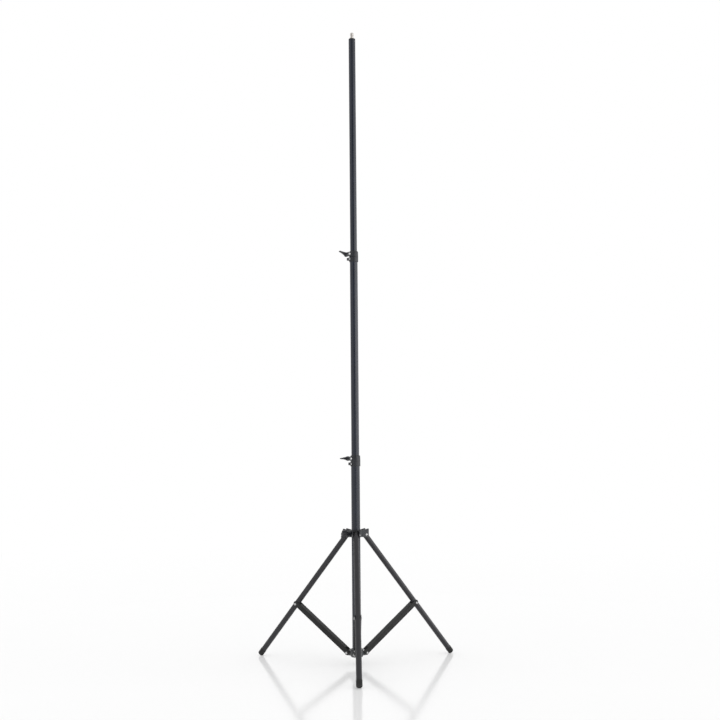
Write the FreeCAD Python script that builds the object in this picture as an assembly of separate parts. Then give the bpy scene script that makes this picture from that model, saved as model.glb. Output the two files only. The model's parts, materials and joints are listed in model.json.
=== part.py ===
import FreeCAD, Part
import math
import os

# Telescopic light stand: a three-section mast on three folding legs.
# Millimetres. The origin is on the floor, on the mast's axis. +Z is up, and one leg points to -Y.

Vector = FreeCAD.Vector
ORIGIN = Vector(0, 0, 0)
X_AXIS = Vector(1, 0, 0)
Y_AXIS = Vector(0, 1, 0)
Z_AXIS = Vector(0, 0, 1)

# Directions around the mast, in degrees from +X.
LEG_AZIMUTHS = {"front": 270.0, "right": 30.0, "left": 150.0}
CLAMP_AZIMUTH = 210.0
SPIGOT_SCREW_AZIMUTH = -12.0

# Clearances between pieces, and how far a cutting tool runs past what it cuts.
FIT_GAP = 0.05
SLIDE_GAP = 0.3
CUT_MARGIN = 1.0
CUT_REACH = 60.0

# Mast tubes.
TUBE_WALL = 1.2
BASE_TUBE_R = 19.0
MID_TUBE_R = 17.0
TOP_TUBE_R = 15.0
BASE_HUB_BOTTOM = 37.0
BASE_HUB_TOP = 66.0
LOWER_COLLAR_Z = 853.5
UPPER_COLLAR_Z = 1756.0
MAST_TOP = 2766.0
MAST_OVERLAP = 80.0
BASE_TUBE_INSET = 0.5

# Cap in the foot of the mast.
FOOT_CAP_R = 25.5
FOOT_CAP_FLANGE = 4.0
FOOT_CAP_EDGE = 1.5
FOOT_CAP_PLUG = 9.0

# Plastic plugs: their wall, end chamfer, and the guide flange below a tube.
PLUG_WALL = 2.5
PLUG_EDGE = 1.0
GUIDE_FLANGE = 8.0
GUIDE_EDGE = 0.5
MIDDLE_GUIDE_PLUG = 11.0
TOP_GUIDE_PLUG = 20.0

# Leg linkage, in the vertical plane of one leg.
PIVOT_R = 44.5
LOWER_PIVOT_Z = 47.5
LEG_TO_BRACE = 409.0
BRACE_LENGTH = 325.0
LEG_TILT = 39.6

# Legs and feet.
LEG_R = 12.0
LEG_WALL = 1.2
FOOT_R = 12.9
FOOT_ROUND = 6.0
FOOT_LENGTH = 30.0
FOOT_SOLE = 6.0
LEG_TOP_ROOM = 2.0
LEG_PLUG_DEPTH = 14.0

# Brace channel.
BRACE_WALL = 1.5
BRACE_HALF_GAP = 13.2
BRACE_WEB_IN = 13.4
BRACE_FREE_EDGE = 5.6
BRACE_BEND_R = 2.0
BRACE_WEB_CUT = 20.0
BRACE_END_EASE = 0.01

# Pivot rivets.
PIVOT_PIN_R = 3.0
RIVET_HEAD_R = 5.2
RIVET_HEAD_HEIGHT = 2.4
WASHER_R = 6.0
WASHER_GAP = 0.2

# Base hub.
HUB_EDGE = 1.5
BASE_HUB_R = 28.5
BASE_ARM_ROOT = 21.5
BASE_SHOULDER_LOW = 39.0
BASE_SHOULDER_BEND = 43.0
BASE_SHOULDER_LOW_R = 2.0
BASE_SHOULDER_TOP_R = 3.0
LUG_HALF_WIDTH = 10.0
LUG_END_R = 10.0
LUG_SHOULDER_X = 31.1
LUG_SCREW_X = 26.5
LUG_SCREW_Z = 60.0
LUG_SCREW_R = 2.5
LUG_SCREW_HEAD_R = 4.2
LUG_SCREW_HEAD_HEIGHT = 2.4
LUG_SEAT_DEPTH = 5.0

# Leg hub.
HUB_R = 28.5
HUB_BORE_R = 21.3
HUB_BELOW_PIVOT = 10.0
HUB_ABOVE_PIVOT = 18.0
EAR_INNER = 12.7
EAR_THICKNESS = 3.8
EAR_TOP = 26.0
EAR_OUT = 11.5
EAR_ROOT = 18.0
EAR_KNEE = 8.0
EAR_TOP_R = 2.5
EAR_BELOW = 1.0
EAR_CORNER_R = 10.5
EAR_ROOT_DROP = 1.0
SLEEVE_FLANGE_R = 24.5
SLEEVE_FLANGE = 2.0
SLEEVE_EDGE = 0.6
SLEEVE_BELOW = 1.0
KNOB_Z_ABOVE_PIVOT = 4.5
BOSS_R = 12.5
BOSS_ROOT = 22.5
BOSS_END = 44.0
PAD_R = 6.0
PAD_BACK = 23.5
PAD_HOLE_BACK = 24.5
STUD_R = 4.0
STUD_HOLE_START = 21.5
STUD_GRIP = 10.0
KNOB_START = 46.0
KNOB_LENGTH = 27.0
KNOB_CORE_R = 9.5
KNOB_CORE_SHORTER = 3.0
KNOB_SPAN = 36.0
KNOB_THICKNESS = 8.0
KNOB_TURN = 20.0
WING_ROOT = 3.0
WING_ROOT_SHARE = 0.6
WING_ROOT_R = 6.0
WING_SHOULDER = 8.0
WING_TIP_R = 5.0
WING_DIP = 4.0
WING_DIP_R = 12.0

# Split collars.
COLLAR_HEIGHT = 46.5
COLLAR_WALL = 3.0
COLLAR_FIX_HEIGHT = 23.0
COLLAR_BORE_EXTRA = 1.85
COLLAR_SLIT = 3.0
COLLAR_SLOT_Z = 21.4
COLLAR_SLOT = 1.6
COLLAR_EDGE = 1.2
COLLAR_BAND = 6.0
COLLAR_TAPER = 0.6
COLLAR_TOP_BEVEL = 2.5
COLLAR_TOP_STEP = 2.0
COLLAR_STOP = 0.5
BUSH_START = 2.0
BUSH_LIP = 1.2
BUSH_LIP_HEIGHT = 1.0
CLAMP_EAR_Z = 34.0
CLAMP_EAR_R = 9.0
CLAMP_BOLT_X = 26.5
CLAMP_EAR_HALF = 8.6
CLAMP_BOLT_R = 3.0
CLAMP_BOLT_HEAD_R = 6.0
CLAMP_BOLT_HEAD_HEIGHT = 3.4
CLAMP_EAR_EDGE = 1.0
FIX_LUG_Z = 11.0
FIX_LUG_R = 6.0
FIX_SCREW_X = 25.3
FIX_LUG_HALF = 7.6
FIX_LUG_CORNER_R = 2.5
FIX_SCREW_R = 2.0
FIX_SCREW_HEAD_R = 4.0
FIX_SCREW_HEAD_HEIGHT = 2.4
FIX_SCREW_OUT = 3.6
FIX_NUT_ACROSS = 7.0
FIX_NUT_THICK = 3.2

# Clamp levers.
LEVER_NECK_R = 6.0
LEVER_NECK_END = 14.5
LEVER_HUB_R = 10.0
LEVER_HUB_END = 25.5
LEVER_REACH = 38.0
LEVER_ROOT_HALF = 7.5
LEVER_TIP_HALF = 2.2
LEVER_SIDE_GAP = 1.0
LEVER_EDGE = 1.5
LEVER_ROOT_X = 2.0
LEVER_WAIST_SHARE = 0.55
LEVER_WAIST_DROP = 1.2
LEVER_WAIST_R = 30.0
LEVER_ROOT_RISE = 1.0
INSERT_WALL = 1.5
INSERT_COVER = 2.0
INSERT_NEAR = 10.0
BOLT_HOLE_END = 12.0
UPPER_LEVER_LIFT = 20.0

# Spigot and the cap that holds it.
SPIGOT_R = 8.0
SPIGOT_TAIL_R = 7.0
SPIGOT_NECK_R = 5.5
SPIGOT_SHOULDER_EDGE = 0.5
SPIGOT_NECK_LOW_EDGE = 1.0
SPIGOT_NECK_TOP_EDGE = 1.5
SPIGOT_TIP_HEIGHT = 3.5
SPIGOT_TIP_INSET = 3.0
CAP_LIP = 3.0
CAP_FLOOR = 2.0
CAP_EDGE_LOW = 1.8
CAP_EDGE_HIGH = 0.6
SPIGOT_DEPTH = 24.0
SPIGOT_BASE = 10.0
SPIGOT_NECK = 4.0
SPIGOT_HEAD = 14.0
SPIGOT_SCREW_DEPTH = 9.0
SPIGOT_SCREW_R = 2.0
SPIGOT_SCREW_TIP_GAP = 0.1
SPIGOT_SCREW_HEAD_R = 3.8
SPIGOT_SCREW_HEAD_HEIGHT = 1.9


def box(x_low, x_high, y_low, y_high, z_low, z_high):
    size = (x_high - x_low, y_high - y_low, z_high - z_low)
    return Part.makeBox(*size, Vector(x_low, y_low, z_low))


def rod_z(radius, z_low, z_high):
    return Part.makeCylinder(radius, z_high - z_low, Vector(0, 0, z_low), Z_AXIS)


def rod_x(radius, x_low, x_high, z=0.0):
    return Part.makeCylinder(radius, x_high - x_low, Vector(x_low, 0, z), X_AXIS)


def rod_y(radius, y_low, y_high, x=0.0, z=0.0):
    return Part.makeCylinder(radius, y_high - y_low, Vector(x, y_low, z), Y_AXIS)


def tube_z(outer_r, inner_r, z_low, z_high):
    bore = rod_z(inner_r, z_low - CUT_MARGIN, z_high + CUT_MARGIN)
    return rod_z(outer_r, z_low, z_high).cut(bore)


def turned(profile):
    """A solid turned about Z from (radius, height) points."""
    points = [Vector(radius, 0, height) for radius, height in profile]
    face = Part.Face(Part.makePolygon(points + points[:1]))
    return face.revolve(ORIGIN, Z_AXIS, 360)


def rounded_plate(corners, y_low, y_high):
    """A plate in the XZ plane from (x, z, corner radius) points, between two Y values."""
    edges = []
    tangents = []
    count = len(corners)
    for index, (x, z, radius) in enumerate(corners):
        here = Vector(x, 0, z)
        before = Vector(corners[index - 1][0], 0, corners[index - 1][1])
        after = Vector(corners[(index + 1) % count][0], 0, corners[(index + 1) % count][1])
        back = (before - here).normalize()
        ahead = (after - here).normalize()
        half_angle = back.getAngle(ahead) / 2
        reach = radius / math.tan(half_angle)
        middle = here + (back + ahead).normalize() * (radius / math.sin(half_angle) - radius)
        tangents.append((here + back * reach, middle, here + ahead * reach))
    for index, (start, middle, end) in enumerate(tangents):
        following = tangents[(index + 1) % count][0]
        if (end - start).Length > 1e-6:
            edges.append(Part.Arc(start, middle, end).toShape())
        if (following - end).Length > 1e-6:
            edges.append(Part.LineSegment(end, following).toShape())
    face = Part.Face(Part.Wire(edges))
    face.translate(Vector(0, y_low, 0))
    return face.extrude(Vector(0, y_high - y_low, 0))


def domed_head(radius, height):
    """A rivet or screw head on the XY plane, standing up along Z."""
    ball_r = (radius ** 2 + height ** 2) / (2 * height)
    ball = Part.makeSphere(ball_r, Vector(0, 0, height - ball_r))
    return ball.common(rod_z(radius, 0, height))


def head_along_y(radius, height, x, y, z, outward):
    """A domed head at (x, y, z) that faces +Y when outward is 1, or -Y when it is -1."""
    head = domed_head(radius, height)
    head.rotate(ORIGIN, X_AXIS, -90 * outward)
    head.translate(Vector(x, y, z))
    return head


def hex_nut(across_flats, bore_r, y_low, y_high, x, z):
    corner_r = across_flats / math.sqrt(3)
    points = []
    for step in range(6):
        angle = math.radians(60 * step)
        points.append(Vector(x + corner_r * math.cos(angle), y_low, z + corner_r * math.sin(angle)))
    face = Part.Face(Part.makePolygon(points + points[:1]))
    nut = face.extrude(Vector(0, y_high - y_low, 0))
    return nut.cut(rod_y(bore_r, y_low - CUT_MARGIN, y_high + CUT_MARGIN, x, z))


def fused(shapes):
    result = shapes[0]
    for shape in shapes[1:]:
        result = result.fuse(shape)
    return result.removeSplitter()


def around_mast(shape, azimuth):
    turned_shape = shape.copy()
    turned_shape.rotate(ORIGIN, Z_AXIS, azimuth)
    return turned_shape


def save(node, *solids):
    shape = solids[0] if len(solids) == 1 else Part.makeCompound(list(solids))
    count = len(shape.Solids)
    print(f"{node}: {count} solid(s), {shape.Volume:.0f} mm3, valid {shape.isValid()}")
    shape.exportStep(f"parts/{node}.step")


# Linkage worked out from the driving dimensions.
TILT = math.radians(LEG_TILT)
BRACE_TILT = math.asin(LEG_TO_BRACE * math.sin(TILT) / BRACE_LENGTH)
UPPER_PIVOT_Z = (LOWER_PIVOT_Z + LEG_TO_BRACE * math.cos(TILT)
                 + BRACE_LENGTH * math.cos(BRACE_TILT))
# The foot's rounded lower corner touches the floor.
FOOT_DROP = (FOOT_R - FOOT_ROUND) * math.sin(TILT) + FOOT_ROUND
LEG_LENGTH = (UPPER_PIVOT_Z - FOOT_DROP) / math.cos(TILT) + FOOT_ROUND

BASE_TUBE_TOP = LOWER_COLLAR_Z + COLLAR_FIX_HEIGHT
MID_TUBE_TOP = UPPER_COLLAR_Z + COLLAR_FIX_HEIGHT
MID_TUBE_BOTTOM = BASE_TUBE_TOP - MAST_OVERLAP
TOP_TUBE_BOTTOM = MID_TUBE_TOP - MAST_OVERLAP
PIN_HOLE_R = PIVOT_PIN_R + FIT_GAP
KNOB_Z = UPPER_PIVOT_Z + KNOB_Z_ABOVE_PIVOT


def place_leg_part(shape, azimuth):
    """From the leg's own frame (pivot at the origin, leg along -Z) to its place."""
    placed = shape.copy()
    placed.rotate(ORIGIN, Y_AXIS, -LEG_TILT)
    placed.translate(Vector(PIVOT_R, 0, UPPER_PIVOT_Z))
    return around_mast(placed, azimuth)


def place_brace_part(shape, azimuth):
    """From the brace's own frame (lower pivot at the origin, brace along +Z) to its place."""
    placed = shape.copy()
    placed.rotate(ORIGIN, Y_AXIS, math.degrees(BRACE_TILT))
    placed.translate(Vector(PIVOT_R, 0, LOWER_PIVOT_Z))
    return around_mast(placed, azimuth)


def make_base_hub():
    ring = rod_z(BASE_HUB_R, BASE_HUB_BOTTOM, BASE_HUB_TOP)
    ring = ring.makeChamfer(HUB_EDGE, [edge for edge in ring.Edges if edge.Closed])
    body = [ring]
    for azimuth in LEG_AZIMUTHS.values():
        arm = box(BASE_ARM_ROOT, PIVOT_R, -LUG_HALF_WIDTH, LUG_HALF_WIDTH,
                  LOWER_PIVOT_Z - LUG_END_R, LOWER_PIVOT_Z + LUG_END_R)
        tip = rod_y(LUG_END_R, -LUG_HALF_WIDTH, LUG_HALF_WIDTH, PIVOT_R, LOWER_PIVOT_Z)
        shoulder = rounded_plate([
            (BASE_ARM_ROOT, BASE_SHOULDER_LOW, 0),
            (LUG_SHOULDER_X, BASE_SHOULDER_BEND, BASE_SHOULDER_LOW_R),
            (LUG_SHOULDER_X, BASE_HUB_TOP, BASE_SHOULDER_TOP_R),
            (BASE_ARM_ROOT, BASE_HUB_TOP, 0),
        ], -LUG_HALF_WIDTH, LUG_HALF_WIDTH)
        body += [around_mast(shape, azimuth) for shape in (arm, tip, shoulder)]
    hub = fused(body)
    bore = rod_z(BASE_TUBE_R + FIT_GAP, BASE_HUB_BOTTOM - CUT_MARGIN, BASE_HUB_TOP + CUT_MARGIN)
    hub = hub.cut(bore)
    for azimuth in LEG_AZIMUTHS.values():
        reach = LUG_HALF_WIDTH + LUG_SEAT_DEPTH
        pivot_hole = rod_y(PIN_HOLE_R, -reach, reach, PIVOT_R, LOWER_PIVOT_Z)
        screw_hole = rod_y(LUG_SCREW_R + FIT_GAP, -reach, reach, LUG_SCREW_X, LUG_SCREW_Z)
        hub = hub.cut(around_mast(pivot_hole, azimuth))
        hub = hub.cut(around_mast(screw_hole, azimuth))
        for side in (-1, 1):
            low, high = sorted((side * LUG_HALF_WIDTH, side * reach))
            seat = rod_y(LUG_SCREW_HEAD_R + SLIDE_GAP, low, high, LUG_SCREW_X, LUG_SCREW_Z)
            hub = hub.cut(around_mast(seat, azimuth))
    save("base_hub", hub)


def make_lug_screws():
    screws = []
    for azimuth in LEG_AZIMUTHS.values():
        shank = rod_y(LUG_SCREW_R, -LUG_HALF_WIDTH, LUG_HALF_WIDTH, LUG_SCREW_X, LUG_SCREW_Z)
        heads = [head_along_y(LUG_SCREW_HEAD_R, LUG_SCREW_HEAD_HEIGHT, LUG_SCREW_X,
                              side * LUG_HALF_WIDTH, LUG_SCREW_Z, side) for side in (-1, 1)]
        screws.append(around_mast(fused([shank] + heads), azimuth))
    save("lug_screws", *screws)


def make_base_section():
    inner_r = BASE_TUBE_R - TUBE_WALL
    tube_low = BASE_HUB_BOTTOM + BASE_TUBE_INSET
    save("base_tube", tube_z(BASE_TUBE_R, inner_r, tube_low, BASE_TUBE_TOP))
    plug_r = inner_r - FIT_GAP
    hollow_r = plug_r - PLUG_WALL
    low = BASE_HUB_BOTTOM - FOOT_CAP_FLANGE
    plug_top = BASE_HUB_BOTTOM + FOOT_CAP_PLUG
    cap = turned([(0, low), (FOOT_CAP_R - FOOT_CAP_EDGE, low),
                  (FOOT_CAP_R, low + FOOT_CAP_EDGE), (FOOT_CAP_R, BASE_HUB_BOTTOM),
                  (plug_r, BASE_HUB_BOTTOM), (plug_r, plug_top - PLUG_EDGE),
                  (plug_r - PLUG_EDGE, plug_top), (hollow_r, plug_top),
                  (hollow_r, BASE_HUB_BOTTOM), (0, BASE_HUB_BOTTOM)])
    save("base_cap", cap)
    make_base_hub()
    make_lug_screws()


def make_guide(node, tube_r, outer_tube_r, tube_bottom, plug_height):
    """The plastic plug on a tube's lower end, which guides it in the tube outside it."""
    flange_r = outer_tube_r - TUBE_WALL - SLIDE_GAP
    plug_r = tube_r - TUBE_WALL - FIT_GAP
    hollow_r = plug_r - PLUG_WALL
    low = tube_bottom - GUIDE_FLANGE
    save(node, turned([(hollow_r, low), (flange_r - PLUG_EDGE, low),
                       (flange_r, low + PLUG_EDGE), (flange_r, tube_bottom - GUIDE_EDGE),
                       (flange_r - GUIDE_EDGE, tube_bottom), (plug_r, tube_bottom),
                       (plug_r, tube_bottom + plug_height),
                       (hollow_r, tube_bottom + plug_height)]))


def make_collar(name, outer_r, inner_r, base_z):
    """A split collar: its lower half grips the outer tube, its upper half clamps the inner one."""
    top_z = base_z + COLLAR_HEIGHT
    step_z = base_z + COLLAR_FIX_HEIGHT
    wall_r = outer_r + COLLAR_WALL
    sleeve = turned([(0, base_z), (wall_r - COLLAR_EDGE, base_z),
                     (wall_r, base_z + COLLAR_EDGE), (wall_r, step_z + COLLAR_BAND),
                     (wall_r - COLLAR_TAPER, top_z - COLLAR_TOP_BEVEL),
                     (wall_r - COLLAR_TOP_STEP, top_z), (0, top_z)])
    half_slit = COLLAR_SLIT / 2
    clamp_z = base_z + CLAMP_EAR_Z
    fix_z = base_z + FIX_LUG_Z
    root_x = outer_r - CLAMP_EAR_EDGE
    ear_x = CLAMP_BOLT_X + CLAMP_EAR_R
    ear_corner_r = CLAMP_EAR_R - CLAMP_EAR_EDGE
    clamp_ear = rounded_plate([
        (root_x, clamp_z - CLAMP_EAR_R, 0),
        (ear_x, clamp_z - CLAMP_EAR_R, ear_corner_r),
        (ear_x, clamp_z + CLAMP_EAR_R, ear_corner_r),
        (root_x, clamp_z + CLAMP_EAR_R, 0),
    ], -CLAMP_EAR_HALF, CLAMP_EAR_HALF)
    lug_x = FIX_SCREW_X + FIX_LUG_R
    fix_lug = rounded_plate([
        (root_x, fix_z - FIX_LUG_R, 0),
        (lug_x, fix_z - FIX_LUG_R, FIX_LUG_CORNER_R),
        (lug_x, fix_z + FIX_LUG_R, FIX_LUG_CORNER_R),
        (root_x, fix_z + FIX_LUG_R, 0),
    ], -FIX_LUG_HALF, FIX_LUG_HALF)
    collar = fused([sleeve, clamp_ear, fix_lug])
    slit = box(0, CUT_REACH, -half_slit, half_slit, base_z - CUT_MARGIN, top_z + CUT_MARGIN)
    slot_z = base_z + COLLAR_SLOT_Z
    slot = box(-COLLAR_TOP_STEP, CUT_REACH, -CUT_REACH, CUT_REACH, slot_z, slot_z + COLLAR_SLOT)
    cuts = [
        rod_z(outer_r + FIT_GAP, base_z - CUT_MARGIN, step_z + COLLAR_STOP),
        rod_z(inner_r + COLLAR_BORE_EXTRA, step_z, top_z + CUT_MARGIN),
        slit,
        slot,
        rod_y(CLAMP_BOLT_R + FIT_GAP, -CUT_REACH, CUT_REACH, CLAMP_BOLT_X, clamp_z),
        rod_y(FIX_SCREW_R + FIT_GAP, -CUT_REACH, CUT_REACH, FIX_SCREW_X, fix_z),
    ]
    for cut in cuts:
        collar = collar.cut(cut)
    save(f"{name}_collar", around_mast(collar, CLAMP_AZIMUTH))

    bush_in = inner_r + SLIDE_GAP
    bush_out = inner_r + COLLAR_BORE_EXTRA - FIT_GAP
    lip_r = bush_out + BUSH_LIP
    lip_z = top_z + BUSH_LIP_HEIGHT
    bush = turned([(bush_in, step_z + BUSH_START), (bush_out, step_z + BUSH_START),
                   (bush_out, top_z), (lip_r, top_z), (lip_r, lip_z), (bush_in, lip_z)])
    slit.translate(Vector(0, 0, BUSH_LIP_HEIGHT))
    bush = bush.cut(slit)
    save(f"{name}_bush", around_mast(bush, CLAMP_AZIMUTH))

    bolt = fused([
        rod_y(CLAMP_BOLT_R, INSERT_COVER - LEVER_HUB_END, CLAMP_EAR_HALF, CLAMP_BOLT_X, clamp_z),
        head_along_y(CLAMP_BOLT_HEAD_R, CLAMP_BOLT_HEAD_HEIGHT, CLAMP_BOLT_X, CLAMP_EAR_HALF,
                     clamp_z, 1),
    ])
    save(f"{name}_clamp_bolt", around_mast(bolt, CLAMP_AZIMUTH))
    screw = fused([
        rod_y(FIX_SCREW_R, -FIX_LUG_HALF - FIX_SCREW_OUT, FIX_LUG_HALF, FIX_SCREW_X, fix_z),
        head_along_y(FIX_SCREW_HEAD_R, FIX_SCREW_HEAD_HEIGHT, FIX_SCREW_X, FIX_LUG_HALF,
                     fix_z, 1),
    ])
    save(f"{name}_fixing_screw", around_mast(screw, CLAMP_AZIMUTH))
    nut = hex_nut(FIX_NUT_ACROSS, FIX_SCREW_R + FIT_GAP, -FIX_LUG_HALF - FIX_NUT_THICK,
                  -FIX_LUG_HALF, FIX_SCREW_X, fix_z)
    save(f"{name}_fixing_nut", around_mast(nut, CLAMP_AZIMUTH))


def make_lever(name, base_z, lift):
    """The clamp lever, on the end of the clamp bolt; lift is the handle's angle above level."""
    clamp_z = base_z + CLAMP_EAR_Z
    near = -CLAMP_EAR_HALF - SLIDE_GAP
    neck = rod_y(LEVER_NECK_R, -LEVER_NECK_END, near)
    hub = rod_y(LEVER_HUB_R, -LEVER_HUB_END, -LEVER_NECK_END)
    hub = hub.makeFillet(LEVER_EDGE, [edge for edge in hub.Edges if edge.Closed])
    handle = rounded_plate([
        (LEVER_ROOT_X, -LEVER_ROOT_HALF, 0),
        (LEVER_REACH * LEVER_WAIST_SHARE, -LEVER_TIP_HALF - LEVER_WAIST_DROP, LEVER_WAIST_R),
        (LEVER_REACH, -LEVER_TIP_HALF, LEVER_TIP_HALF),
        (LEVER_REACH, LEVER_TIP_HALF, LEVER_TIP_HALF),
        (LEVER_ROOT_X, LEVER_ROOT_HALF + LEVER_ROOT_RISE, 0),
    ], -LEVER_HUB_END + LEVER_SIDE_GAP, -LEVER_NECK_END - LEVER_SIDE_GAP)
    lever = fused([neck, hub, handle])
    insert_low = INSERT_COVER - LEVER_HUB_END
    insert = rod_y(CLAMP_BOLT_R + INSERT_WALL, insert_low, -INSERT_NEAR)
    lever = lever.cut(insert)
    insert = insert.cut(rod_y(CLAMP_BOLT_R + FIT_GAP, insert_low - CUT_MARGIN, 0))
    lever = lever.cut(rod_y(CLAMP_BOLT_R + FIT_GAP, -BOLT_HOLE_END, 0))
    for node, shape in ((f"{name}_lever", lever), (f"{name}_lever_nut", insert)):
        shape.rotate(ORIGIN, Y_AXIS, -lift)
        shape.translate(Vector(CLAMP_BOLT_X, 0, clamp_z))
        save(node, around_mast(shape, CLAMP_AZIMUTH))


def make_middle_section():
    inner_r = MID_TUBE_R - TUBE_WALL
    save("middle_tube", tube_z(MID_TUBE_R, inner_r, MID_TUBE_BOTTOM, MID_TUBE_TOP))
    make_guide("middle_guide", MID_TUBE_R, BASE_TUBE_R, MID_TUBE_BOTTOM, MIDDLE_GUIDE_PLUG)


def make_top_section():
    inner_r = TOP_TUBE_R - TUBE_WALL
    screw_z = MAST_TOP - SPIGOT_SCREW_DEPTH
    screw_hole = rod_x(SPIGOT_SCREW_R + FIT_GAP, SPIGOT_TAIL_R, CUT_REACH, screw_z)
    screw_hole = around_mast(screw_hole, SPIGOT_SCREW_AZIMUTH)
    tube = tube_z(TOP_TUBE_R, inner_r, TOP_TUBE_BOTTOM, MAST_TOP)
    save("top_tube", tube.cut(screw_hole))
    make_guide("top_guide", TOP_TUBE_R, MID_TUBE_R, TOP_TUBE_BOTTOM, TOP_GUIDE_PLUG)

    plug_r = inner_r - FIT_GAP
    lip_top = MAST_TOP + CAP_LIP
    plug_low = MAST_TOP - SPIGOT_DEPTH
    tail_low = plug_low + CAP_FLOOR
    cap = turned([(0, plug_low), (plug_r - PLUG_EDGE, plug_low), (plug_r, plug_low + PLUG_EDGE),
                  (plug_r, MAST_TOP), (TOP_TUBE_R, MAST_TOP),
                  (TOP_TUBE_R, lip_top - CAP_EDGE_LOW),
                  (TOP_TUBE_R - CAP_EDGE_HIGH, lip_top - CAP_EDGE_HIGH),
                  (TOP_TUBE_R - CAP_EDGE_LOW, lip_top), (0, lip_top)])
    bore = rod_z(SPIGOT_TAIL_R + FIT_GAP, tail_low, lip_top + CUT_MARGIN)
    save("top_cap", cap.cut(bore).cut(screw_hole))

    neck_z = lip_top + SPIGOT_BASE
    head_z = neck_z + SPIGOT_NECK
    end_z = head_z + SPIGOT_HEAD
    spigot = turned([(0, tail_low), (SPIGOT_TAIL_R, tail_low), (SPIGOT_TAIL_R, lip_top),
                     (SPIGOT_R - SPIGOT_SHOULDER_EDGE, lip_top),
                     (SPIGOT_R, lip_top + SPIGOT_SHOULDER_EDGE), (SPIGOT_R, neck_z),
                     (SPIGOT_NECK_R, neck_z + SPIGOT_NECK_LOW_EDGE), (SPIGOT_NECK_R, head_z),
                     (SPIGOT_R, head_z + SPIGOT_NECK_TOP_EDGE),
                     (SPIGOT_R, end_z - SPIGOT_TIP_HEIGHT),
                     (SPIGOT_R - SPIGOT_TIP_INSET, end_z), (0, end_z)])
    save("spigot", spigot)

    screw = rod_x(SPIGOT_SCREW_R, SPIGOT_TAIL_R + SPIGOT_SCREW_TIP_GAP, TOP_TUBE_R)
    head = domed_head(SPIGOT_SCREW_HEAD_R, SPIGOT_SCREW_HEAD_HEIGHT)
    head.rotate(ORIGIN, Y_AXIS, 90)
    head.translate(Vector(TOP_TUBE_R, 0, 0))
    screw = fused([screw, head])
    screw.translate(Vector(0, 0, screw_z))
    save("spigot_screw", around_mast(screw, SPIGOT_SCREW_AZIMUTH))


def make_leg_hub():
    low = UPPER_PIVOT_Z - HUB_BELOW_PIVOT
    high = UPPER_PIVOT_Z + HUB_ABOVE_PIVOT
    ring = rod_z(HUB_R, low, high)
    ring = ring.makeChamfer(HUB_EDGE, [edge for edge in ring.Edges if edge.Closed])
    body = [ring]
    ear_end = PIVOT_R + EAR_OUT
    ear_low = UPPER_PIVOT_Z - EAR_OUT - EAR_BELOW
    for azimuth in LEG_AZIMUTHS.values():
        for side in (-1, 1):
            y_low = EAR_INNER if side > 0 else -EAR_INNER - EAR_THICKNESS
            ear = rounded_plate([
                (EAR_ROOT, low, 0),
                (PIVOT_R - EAR_KNEE, ear_low, EAR_KNEE),
                (ear_end, ear_low, EAR_CORNER_R),
                (ear_end, UPPER_PIVOT_Z + EAR_TOP, EAR_TOP_R),
                (EAR_ROOT, high - EAR_ROOT_DROP, 0),
            ], y_low, y_low + EAR_THICKNESS)
            body.append(around_mast(ear, azimuth))
    boss = rod_x(BOSS_R, BOSS_ROOT, BOSS_END, KNOB_Z)
    body.append(around_mast(boss, CLAMP_AZIMUTH))
    hub = fused(body)
    hub = hub.cut(rod_z(HUB_BORE_R, low - CUT_MARGIN, high + CUT_MARGIN))
    for azimuth in LEG_AZIMUTHS.values():
        hole = rod_y(PIN_HOLE_R, -CUT_REACH, CUT_REACH, PIVOT_R, UPPER_PIVOT_Z)
        hub = hub.cut(around_mast(hole, azimuth))
    pad_hole = rod_x(PAD_R + FIT_GAP, 0, PAD_HOLE_BACK, KNOB_Z)
    stud_hole = rod_x(STUD_R + FIT_GAP, STUD_HOLE_START, BOSS_END + CUT_MARGIN, KNOB_Z)
    for hole in (pad_hole, stud_hole):
        hub = hub.cut(around_mast(hole, CLAMP_AZIMUTH))
    save("leg_hub", hub)

    bore_r = BASE_TUBE_R + SLIDE_GAP
    outer_r = HUB_BORE_R - FIT_GAP
    sleeve_low = low - SLEEVE_BELOW
    flange_top = high + SLEEVE_FLANGE
    sleeve = turned([(bore_r, sleeve_low), (outer_r, sleeve_low), (outer_r, high),
                     (SLEEVE_FLANGE_R, high), (SLEEVE_FLANGE_R, flange_top - SLEEVE_EDGE),
                     (SLEEVE_FLANGE_R - SLEEVE_EDGE, flange_top), (bore_r, flange_top)])
    save("hub_sleeve", sleeve.cut(around_mast(pad_hole, CLAMP_AZIMUTH)))
    pad = rod_x(PAD_R, BASE_TUBE_R + SLIDE_GAP, PAD_BACK, KNOB_Z)
    save("hub_brake_pad", around_mast(pad, CLAMP_AZIMUTH))


def make_hub_rivets():
    """Each clevis rivet's two ends; its middle is the leg's own pin."""
    rivets = []
    ear_outer = EAR_INNER + EAR_THICKNESS
    for azimuth in LEG_AZIMUTHS.values():
        for side in (-1, 1):
            low, high = sorted((side * EAR_INNER, side * ear_outer))
            stub = rod_y(PIVOT_PIN_R, low, high, PIVOT_R, UPPER_PIVOT_Z)
            head = head_along_y(RIVET_HEAD_R, RIVET_HEAD_HEIGHT, PIVOT_R, side * ear_outer,
                                UPPER_PIVOT_Z, side)
            rivets.append(around_mast(fused([stub, head]), azimuth))
    save("hub_rivets", *rivets)


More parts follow.
